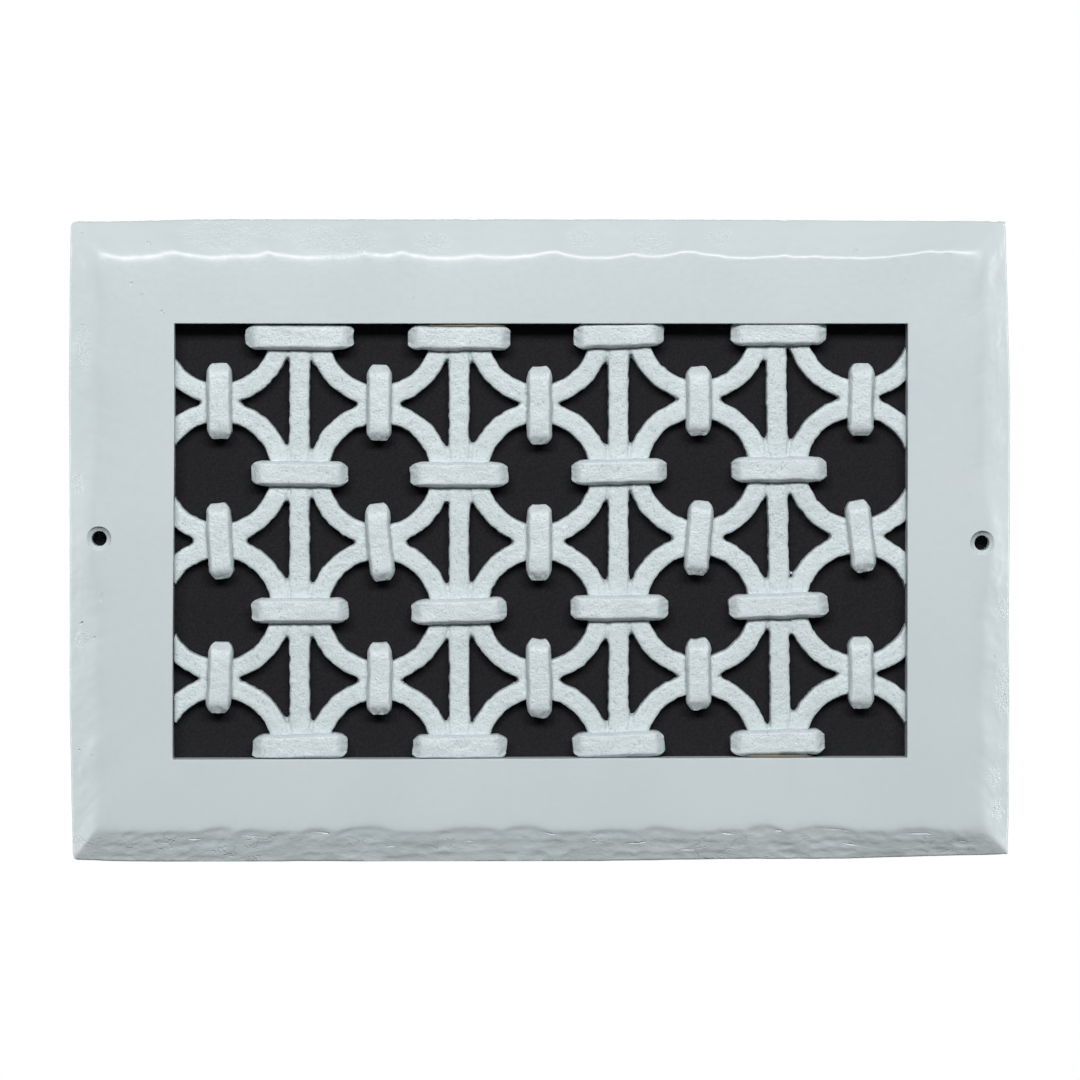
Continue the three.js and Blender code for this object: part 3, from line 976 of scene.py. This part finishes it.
# %% All collars in their places
def collar(length, lean, place, seed):
    """One collar: its face, walls down from the face's rim, and one face for its back."""
    face = collar_face(length, COLLAR_FACE, seed)
    count, columns = face.shape[:2]
    number = np.arange(count * columns).reshape(count, columns)
    rim = np.concatenate(
        [number[:, 0], number[-1, 1:], number[-2::-1, -1], number[0, -2:0:-1]]
    )
    flat = face.reshape(-1, 3)
    depth = collar_front - np.clip(flat[:, 1], FACE_ROOM, None)
    levels = [depth[rim] + share * (cast_back - depth[rim]) for share in WALL_LEVELS]
    rings = [np.stack([flat[rim, 0], level, flat[rim, 2]], axis=1) for level in levels]
    local = np.concatenate([np.stack([flat[:, 0], depth, flat[:, 2]], axis=1), *rings])
    turn = math.radians(lean)
    x = local[:, 0] * math.cos(turn) + local[:, 2] * math.sin(turn)
    z = -local[:, 0] * math.sin(turn) + local[:, 2] * math.cos(turn)
    points = np.stack([x + place[0], -local[:, 1], z + place[1]], axis=1)
    faces = grid_quads(count, columns).tolist()
    ring_number = [rim]
    for k in range(len(WALL_LEVELS)):
        ring_number.append(len(flat) + k * len(rim) + np.arange(len(rim)))
    for upper, lower in zip(ring_number, ring_number[1:]):
        wall = np.stack([upper, np.roll(upper, -1), np.roll(lower, -1), lower], axis=1)
        faces += wall[:, ::-1].tolist()
    faces.append(ring_number[-1][::-1].tolist())
    return points, faces


def collar_places():
    """Length, lean and place of every collar, lying ones first."""
    for row, z in enumerate(rows[::-1]):
        for column, x in enumerate(bar_places):
            length, lean = LYING_COLLARS[row][column]
            yield length - END_SHORTENING, lean, lattice(x, z)
    for row, z in enumerate(spread(HOOP_ROWS - 1, row_pitch)[::-1]):
        for column, x in enumerate(column_places):
            length, lean = STANDING_COLLARS[row][column]
            across, up = lattice(x, z)
            out = RIGHT_COLUMN_OUT * (x == column_places[-1])
            lift = TOP_LEFT_LIFT * (row == 0 and column < 2)
            yield length - END_SHORTENING, lean + 90, (across + out, up + lift)


def all_collars():
    """Every collar in one mesh, trimmed by the opening's walls."""
    points, faces, start = [], [], 0
    for seed, (length, lean, place) in enumerate(collar_places()):
        own_points, own_faces = collar(length, lean, place, seed)
        points.append(own_points)
        faces += [[k + start for k in face] for face in own_faces]
        start += len(own_points)
    points = np.concatenate(points)
    limit = opening_half - SEAT_GAP
    points[:, [0, 2]] = np.clip(points[:, [0, 2]], -limit, limit)
    return mesh_object("collars", points, faces)


collars_piece = all_collars()
shade(collars_piece, 50)
say(collars_piece)

# %% [markdown]
# # Glue
# The grille is glued into the frame. Where a gap was left, at one collar above and at one
# below, a bead of tan glue shows. A bead is an ellipsoid drawn out along the wall.

# %% Beads of glue
# Each bead has its X and Z, its half length, its half width and its depth.
GLUE_BEADS = [(-26.0, 74.5, 14.0, 0.55, 9.8), (82.5, -74.7, 11.8, 0.45, 9.2)]
BEAD_HALF_DEPTH = 1.0
BEAD_END = 0.995


def glue_beads(sides=16, rings=24):
    """Rings about X whose radius follows a half circle, with a small flat end, wavering."""
    angle = -np.arange(sides) * 2 * np.pi / sides
    share = np.linspace(-BEAD_END, BEAD_END, rings)[:, None]
    size = np.sqrt(1 - share**2)
    points, faces = [], []
    for number, (x, z, half, across, depth) in enumerate(GLUE_BEADS):
        run = x + half * share + 0 * angle
        fat = size * (1 + 0.25 * noise(run, 0 * run, 3.0, 81))
        own = [run, -depth + fat * BEAD_HALF_DEPTH * np.cos(angle), z + fat * across * np.sin(angle)]
        points.append(np.stack(own, axis=-1).reshape(-1, 3))
        own_faces = grid_quads(rings, sides, round_columns=True).tolist()
        own_faces += [list(reversed(range(sides))), [(rings - 1) * sides + k for k in range(sides)]]
        faces += [[k + number * rings * sides for k in face] for face in own_faces]
    return mesh_object("glue_beads", np.concatenate(points), faces)


glue_piece = glue_beads()
shade(glue_piece, 50)
say(glue_piece)

# %% [markdown]
# # The cloth behind
# A thin black cloth is drawn flat over the back. Cloth that is stretched hardly ripples, so it
# is a grid with only a slight unevenness, given its thickness by a Solidify modifier.

# %% Backing cloth
CLOTH_STEP = 3.0
CLOTH_THICKNESS = 0.5
CLOTH_BACK = 0.62
RIPPLE = ((0.03, 22.0, 31), (0.02, 9.0, 32))


def backing_cloth():
    """A flat grid, with a ripple of less than a tenth of a millimetre, from two noises."""
    low, high = cloth_box
    counts = ((high - low) / CLOTH_STEP).astype(int)[[0, 2]] + 1
    x = np.linspace(low[0], high[0], counts[0])[:, None]
    z = np.linspace(low[2], high[2], counts[1])[None, :]
    ripple = layers(x, z, RIPPLE)
    points = np.stack([x + 0 * z, -CLOTH_BACK - ripple, z + 0 * x], axis=-1)
    quads = grid_quads(*points.shape[:2])
    return mesh_object("cloth_sheet", points.reshape(-1, 3), quads.tolist())


cloth_piece = backing_cloth()
solid = cloth_piece.modifiers.new("thickness", "SOLIDIFY")
solid.thickness = CLOTH_THICKNESS * MM
solid.offset = -1
keep_modifiers(cloth_piece)
shade(cloth_piece, 60)
say(cloth_piece)

# %% [markdown]
# # Paint and cloth
# The finishes are procedural and read Object coordinates, which are metres here, so a noise of
# scale 1000 has features of about a millimetre. Numbers that are the same all over stay on the
# shader's own sockets. Roughness and bump vary, because a satin paint over sandy resin glints
# from grain to grain.

# %% Helpers for materials: noise and colours
def new_material(name, roughness):
    """A material with its node tree, its shader and a node for Object coordinates."""
    material = bpy.data.materials.new(name)
    material.use_nodes = True
    tree = material.node_tree
    shader = tree.nodes["Principled BSDF"]
    shader.inputs["Roughness"].default_value = roughness
    place = tree.nodes.new("ShaderNodeTexCoord")
    return material, tree, shader, place.outputs["Object"]


def noise_node(tree, place, scale, detail=2.0, rough=0.5):
    """A noise texture on the given coordinates."""
    node = tree.nodes.new("ShaderNodeTexNoise")
    node.inputs["Scale"].default_value = scale
    node.inputs["Detail"].default_value = detail
    node.inputs["Roughness"].default_value = rough
    tree.links.new(place, node.inputs["Vector"])
    return node.outputs["Fac"]


def colour_ramp(tree, value, stops):
    """Colours along a value: each stop is a place and a colour."""
    node = tree.nodes.new("ShaderNodeValToRGB")
    elements = node.color_ramp.elements
    while len(elements) < len(stops):
        elements.new(0.5)
    for element, (place, colour) in zip(elements, stops):
        element.position = place
        element.color = (*colour, 1)
    tree.links.new(value, node.inputs["Fac"])
    return node.outputs["Color"]


def mix_colours(tree, share, first, second, kind="MIX"):
    """Two colours mixed by a share, which may be a number or a socket."""
    node = tree.nodes.new("ShaderNodeMix")
    node.data_type = "RGBA"
    node.blend_type = kind
    if isinstance(share, float):
        node.inputs["Factor"].default_value = share
    else:
        tree.links.new(share, node.inputs["Factor"])
    tree.links.new(first, node.inputs["A"])
    tree.links.new(second, node.inputs["B"])
    return node.outputs["Result"]


# %% Helpers for materials: ranges, sums and bumps
def ranged(tree, value, low, high, to_low, to_high):
    """A value moved from one range to another."""
    node = tree.nodes.new("ShaderNodeMapRange")
    limits = {"From Min": low, "From Max": high, "To Min": to_low, "To Max": to_high}
    for name, number in limits.items():
        node.inputs[name].default_value = number
    tree.links.new(value, node.inputs["Value"])
    return node.outputs["Result"]


def soft_gate(tree, value, low, high):
    """0 where a value is below low, 1 where it is above high, and a soft step between."""
    node = tree.nodes.new("ShaderNodeMapRange")
    node.interpolation_type = "SMOOTHSTEP"
    node.inputs["From Min"].default_value = low
    node.inputs["From Max"].default_value = high
    tree.links.new(value, node.inputs["Value"])
    return node.outputs["Result"]


def sum_of(tree, kind, first, second=None):
    """A math node of the given kind; the second value may be a number, a socket or missing."""
    node = tree.nodes.new("ShaderNodeMath")
    node.operation = kind
    tree.links.new(first, node.inputs[0])
    if isinstance(second, float):
        node.inputs[1].default_value = second
    elif second is not None:
        tree.links.new(second, node.inputs[1])
    return node.outputs[0]


def bump(tree, height, distance, strength, normal=None):
    """A bump node, on top of another normal if one is given. Its strength may be a socket."""
    node = tree.nodes.new("ShaderNodeBump")
    node.inputs["Distance"].default_value = distance
    if isinstance(strength, float):
        node.inputs["Strength"].default_value = strength
    else:
        tree.links.new(strength, node.inputs["Strength"])
    tree.links.new(height, node.inputs["Height"])
    if normal is not None:
        tree.links.new(normal, node.inputs["Normal"])
    return node.outputs["Normal"]


def linear(*colour):
    """A colour given as 0 to 255 on screen, in the linear values that a shader takes."""
    share = np.array(colour) / 255
    return tuple(np.where(share <= 0.04045, share / 12.92, ((share + 0.055) / 1.055) ** 2.4))


print("white paint is", np.round(linear(203, 212, 214), 3), "in linear values")

# %% [markdown]
# # The frame's paint
# The frame has a satin white, slightly blue, that lies thick on the flat and lets sandy patches
# show on the bevels. Painted sand is a matter of bump and not of colour, so one colour serves
# for all, and masks on Object coordinates say where the bump is. A mask is an ellipse for each
# patch, and a soft step in X or Z for a whole side.

# %% Satin paint on the frame
# Each patch has its X and Z and its half width and height.
SANDY_PATCHES = [
    (-112, 106, 14, 6), (-92, 107, 9, 3), (-70, 104, 18, 6), (-37, 103.5, 7, 4), (14, 104.5, 6, 4),
    (38, 103.5, 9, 5), (62, 105, 6, 3), (-158, 68, 4, 9), (-160, 20, 3, 4), (-158.5, -34, 3, 4),
    (160, -24, 3, 5), (161, -52, 4, 10), (157.5, -82, 3, 4), (159, -93, 3, 4),
]
STONE_STRETCH = (0.75, 1.0, 1.15)
LOW_SIDE_BELOW = (0.1, 0.103)
SHORT_SIDES_BEYOND = (0.1525, 0.1555)


def patch_of_sand(tree, place, x, z, half_x, half_z):
    """1 in the middle of an ellipse over the front, falling to 0 at its rim. The place less
    the middle is divided by the half sizes, and its length is compared with 1."""
    node = tree.nodes.new("ShaderNodeMapping")
    node.vector_type = "POINT"
    node.inputs["Scale"].default_value = (1 / (half_x * MM), 0, 1 / (half_z * MM))
    node.inputs["Location"].default_value = (-x / half_x, 0, -z / half_z)
    tree.links.new(place, node.inputs["Vector"])
    far = tree.nodes.new("ShaderNodeVectorMath")
    far.operation = "LENGTH"
    tree.links.new(node.outputs[0], far.inputs[0])
    return ranged(tree, far.outputs["Value"], 0.6, 1.2, 1, 0)


def frame_paint():
    """A cool white with faint clouds and fine orange peel. Patches of the bevel are rough with
    sand, a fine noise. The bevels of the short sides are a little dented. The bevel of the
    lower side is rough as stone, with a few cracks where a noise is close to its middle
    value."""
    material, tree, shader, place = new_material("frame_paint", 0.34)
    clouds = noise_node(tree, place, 22, 3)
    tint = colour_ramp(tree, clouds, [(0.3, linear(198, 209, 211)), (0.7, linear(203, 212, 214))])
    split = tree.nodes.new("ShaderNodeSeparateXYZ")
    tree.links.new(place, split.inputs[0])
    down = sum_of(tree, "MULTIPLY", split.outputs["Z"], -1.0)
    low_side = soft_gate(tree, down, *LOW_SIDE_BELOW)
    aside = sum_of(tree, "ABSOLUTE", split.outputs["X"])
    short_sides = soft_gate(tree, aside, *SHORT_SIDES_BEYOND)
    sandy = patch_of_sand(tree, place, *SANDY_PATCHES[0])
    for patch in SANDY_PATCHES[1:]:
        sandy = sum_of(tree, "MAXIMUM", sandy, patch_of_sand(tree, place, *patch))

    peel = noise_node(tree, place, 420, 2)
    sand = noise_node(tree, place, 1300, 2, 0.7)
    dents = noise_node(tree, place, 110, 2, 0.5)
    stretch = tree.nodes.new("ShaderNodeMapping")
    stretch.inputs["Scale"].default_value = STONE_STRETCH
    tree.links.new(place, stretch.inputs["Vector"])
    stone = noise_node(tree, stretch.outputs[0], 380, 4, 0.65)
    middle = sum_of(tree, "SUBTRACT", noise_node(tree, stretch.outputs[0], 210, 2, 0.5), 0.5)
    cracks = soft_gate(tree, sum_of(tree, "ABSOLUTE", middle), 0.0, 0.02)
    cracked = soft_gate(tree, noise_node(tree, place, 90, 1), 0.52, 0.6)

    normal = bump(tree, peel, 0.0001, 0.35)
    normal = bump(tree, sand, 0.0004, sandy, normal)
    normal = bump(tree, dents, 0.0006, short_sides, normal)
    normal = bump(tree, stone, 0.0003, low_side, normal)
    normal = bump(tree, cracks, 0.00012, sum_of(tree, "MULTIPLY", low_side, cracked), normal)
    tree.links.new(normal, shader.inputs["Normal"])
    tree.links.new(ranged(tree, peel, 0.3, 0.7, 0.3, 0.38), shader.inputs["Roughness"])
    tree.links.new(tint, shader.inputs["Base Color"])
    return material


# %% [markdown]
# # The grille's paint
# The grille has the same white over a sandier casting: it was painted thinly, so that the grain
# shows all over, and its hollows are darkened with painted shade. One function makes the paint of
# hoops and bars and that of the smoother collars. The two differ in grain, and the collars have a
# whiter colour that is painted light for the extra light they catch standing forward of the hoops.

# %% Sandy paint on the grille
HOOP_WHITE = (204, 215, 217)
HOOP_GRAIN = 0.00032
# The collars' whiter colour is painted light: it is the hoops' paint made lighter for the light that
# the forward-standing collars catch.
COLLAR_LIT_WHITE = (207, 217, 220)
COLLAR_GRAIN = 0.00026


def grille_paint(name, grain_depth, white):
    """The given white over sandy resin: a grain of under a millimetre that glints, and fine specks
    of painted shade in its hollows."""
    material, tree, shader, place = new_material(name, 0.32)
    clouds = noise_node(tree, place, 60, 3)
    shades = [linear(*(value + step for value in white)) for step in (-4, 3)]
    tint = colour_ramp(tree, clouds, [(0.3, shades[0]), (0.7, shades[1])])
    sand = noise_node(tree, place, 1300, 3, 0.65)
    lumps = noise_node(tree, place, 520, 2)
    # Painted shade: the colour darkens to grey where the fine sand noise is low, in the hollows of
    # the bump's grain.
    hollow_shade = colour_ramp(tree, sand, [(0.28, linear(190, 196, 197)), (0.42, linear(255, 255, 255))])
    tree.links.new(mix_colours(tree, 1.0, tint, hollow_shade, "MULTIPLY"), shader.inputs["Base Color"])
    normal = bump(tree, lumps, grain_depth * 1.4, 0.8)
    normal = bump(tree, sand, grain_depth, 1.0, normal)
    tree.links.new(normal, shader.inputs["Normal"])
    tree.links.new(ranged(tree, lumps, 0.3, 0.7, 0.26, 0.38), shader.inputs["Roughness"])
    return material


# %% [markdown]
# # Glue and cloth
# Both are dull. The glue is one tan with an uneven skin. The cloth is too fine for its threads
# to be seen at this distance, and a mottle of about a millimetre gives what is seen of them.

# %% Tan glue
def tan_glue():
    """Dried glue: a dull tan, the same all over, with a faintly uneven skin."""
    material, tree, shader, place = new_material("tan_glue", 0.5)
    shader.inputs["Base Color"].default_value = (*linear(126, 118, 98), 1)
    tree.links.new(bump(tree, noise_node(tree, place, 700, 2), 0.0002, 0.6), shader.inputs["Normal"])
    return material


# %% Black cloth
def black_cloth():
    """A dull black with a fine mottle of about a millimetre."""
    material, tree, shader, place = new_material("black_cloth", 0.95)
    mottle = noise_node(tree, place, 1300, 3, 0.7)
    tint = colour_ramp(tree, mottle, [(0.3, linear(21, 21, 22)), (0.7, linear(39, 39, 42))])
    tree.links.new(tint, shader.inputs["Base Color"])
    shader.inputs["Specular IOR Level"].default_value = 0.2
    tree.links.new(bump(tree, mottle, 0.0003, 0.8), shader.inputs["Normal"])
    return material


# %% [markdown]
# # Each piece gets its finish
# A piece gets its finish, is hung on the body that it rides on and hides the CAD node that it stands
# for. The cover has one body, because nothing on it moves.

# %% Put the finishes on
def finish_piece(piece, material, slot, *nodes):
    """Gives a piece its finish and its body, and hides the nodes it replaces. The slot is not used.
    """
    piece.data.materials.clear()
    piece.data.materials.append(material)
    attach(piece, "root")
    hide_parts(*nodes)
    print(piece.name, "has", material.name, "of", len(material.node_tree.nodes), "nodes")


finish_piece(frame_piece, frame_paint(), "cast_frame_paint", "frame")
hoop_paint = grille_paint("grille_paint", HOOP_GRAIN, HOOP_WHITE)
collar_paint = grille_paint("collar_paint", COLLAR_GRAIN, COLLAR_LIT_WHITE)
finish_piece(hoops_piece, hoop_paint, "cast_grille_paint", "grille")
finish_piece(collars_piece, collar_paint, "cast_grille_paint", "grille")
finish_piece(glue_piece, tan_glue(), "cast_grille_paint", "grille")
finish_piece(cloth_piece, black_cloth(), "black_cloth", "backing_cloth")

# %% [markdown]
# # Light, floor and background
# The photograph has one wide soft light above the camera, weak light from both sides, and a
# background that is burnt out to white. The world is white to the camera only and dim to
# everything else, so that the black cloth keeps its deep shadows.

# %% Studio
MAIN_LIGHT = {"angle": 25, "turn": 0, "away": 2.5, "size": (2.1, 0.55), "power": 72}
RIGHT_LIGHT = {"angle": 0, "turn": 98, "away": 1.2, "size": (0.3, 0.9), "power": 9.0}
LEFT_LIGHT = {"angle": 0, "turn": -98, "away": 1.2, "size": (0.3, 0.9), "power": 8.0}
BACK_LIGHT = {"angle": 30, "turn": 180, "away": 1.5, "size": (1.2, 0.6), "power": 20}
WORLD_FILL = 0.02
FLOOR_DROP = 340.0
FLOOR_HALF = 700.0


def area_light(name, angle, turn, away, size, power):
    """An area light aimed at the middle, at an angle above the front and a turn to a side."""
    data = bpy.data.lights.new(name, "AREA")
    data.shape = "RECTANGLE"
    data.size, data.size_y = size
    data.energy = power
    light = bpy.data.objects.new(name, data)
    bpy.context.scene.collection.objects.link(light)
    up, side = math.radians(angle), math.radians(turn)
    way = Vector((math.sin(side) * math.cos(up), -math.cos(side) * math.cos(up), math.sin(up)))
    light.location = way * away
    light.rotation_euler = (-way).to_track_quat("-Z", "Y").to_euler()
    return light


def studio_world():
    """White where the camera looks past everything, and a dim fill for all other rays."""
    world = bpy.data.worlds.new("studio")
    world.use_nodes = True
    tree = world.node_tree
    fill = tree.nodes["Background"]
    fill.inputs["Color"].default_value = (1, 1, 1, 1)
    fill.inputs["Strength"].default_value = WORLD_FILL
    white = tree.nodes.new("ShaderNodeBackground")
    white.inputs["Color"].default_value = (1, 1, 1, 1)
    white.inputs["Strength"].default_value = 1.0
    path = tree.nodes.new("ShaderNodeLightPath")
    mix = tree.nodes.new("ShaderNodeMixShader")
    tree.links.new(path.outputs["Is Camera Ray"], mix.inputs[0])
    tree.links.new(fill.outputs[0], mix.inputs[1])
    tree.links.new(white.outputs[0], mix.inputs[2])
    tree.links.new(mix.outputs[0], tree.nodes["World Output"].inputs["Surface"])
    return world


def pale_floor():
    """A plain pale floor below the picture's frame."""
    ends = FLOOR_HALF * np.array([(-1, -1), (1, -1), (1, 1), (-1, 1)])
    corners = [(x, y, -FLOOR_DROP) for x, y in ends]
    floor = mesh_object("pale_floor", corners, [[0, 1, 2, 3]])
    material, _, shader, _ = new_material("floor_paint", 0.8)
    shader.inputs["Base Color"].default_value = (*linear(225, 225, 223), 1)
    floor.data.materials.append(material)
    floor.visible_diffuse = False


area_light("softbox", **MAIN_LIGHT)
area_light("side_right", **RIGHT_LIGHT)
area_light("side_left", **LEFT_LIGHT)
area_light("behind", **BACK_LIGHT)
bpy.context.scene.world = studio_world()
bpy.context.scene.view_settings.view_transform = "Standard"
pale_floor()
